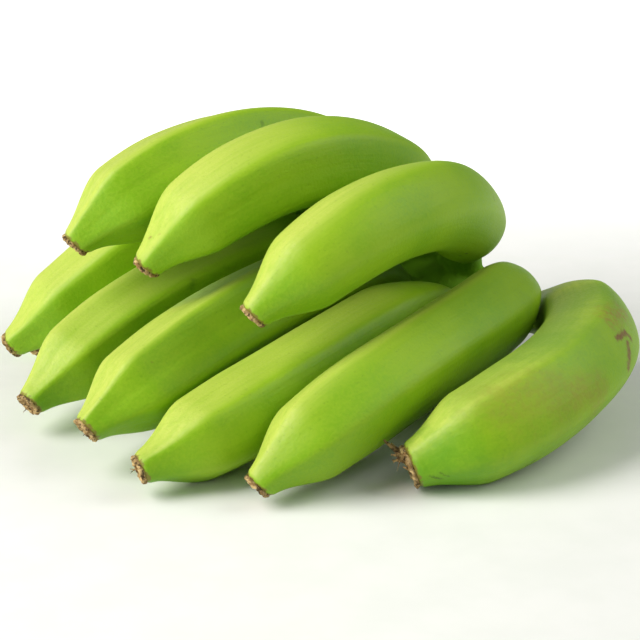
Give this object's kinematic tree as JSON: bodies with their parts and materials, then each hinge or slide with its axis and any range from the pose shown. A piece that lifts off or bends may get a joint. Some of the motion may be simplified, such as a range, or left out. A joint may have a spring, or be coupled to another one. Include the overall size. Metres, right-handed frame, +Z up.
{
  "type": "hand of green bananas",
  "caption": "Hand of unripe green bananas: curved ridged fingers in two rows, joined at one cut crown, with dried blossom ends, lying on its crown and lower fingers.",
  "frame": {"origin": "middle of the footprint, on the surface that the hand lies on", "axes": "+Z up; +X along the longest extent; the finger tips point towards -X and -Y, and the crown is at +X and +Y"},
  "size_m": [0.2637, 0.2327, 0.1174],
  "materials": {
    "peel": "satin waxy green peel",
    "crown": "matt green to brown cut crown",
    "dried_end": "rough dry cork"
  },
  "bodies": {
    "root": {"crown": "crown", "finger_upper_1": "peel", "blossom_end_upper_1": "dried_end", "finger_upper_2": "peel", "blossom_end_upper_2": "dried_end", "finger_upper_3": "peel", "blossom_end_upper_3": "dried_end", "finger_lower_1": "peel", "blossom_end_lower_1": "dried_end", "finger_lower_2": "peel", "blossom_end_lower_2": "dried_end", "finger_lower_3": "peel", "blossom_end_lower_3": "dried_end", "finger_lower_4": "peel", "blossom_end_lower_4": "dried_end", "finger_lower_5": "peel", "blossom_end_lower_5": "dried_end", "finger_lower_6": "peel", "blossom_end_lower_6": "dried_end", "finger_back": "peel", "blossom_end_back": "dried_end"}
  },
  "joints": []
}
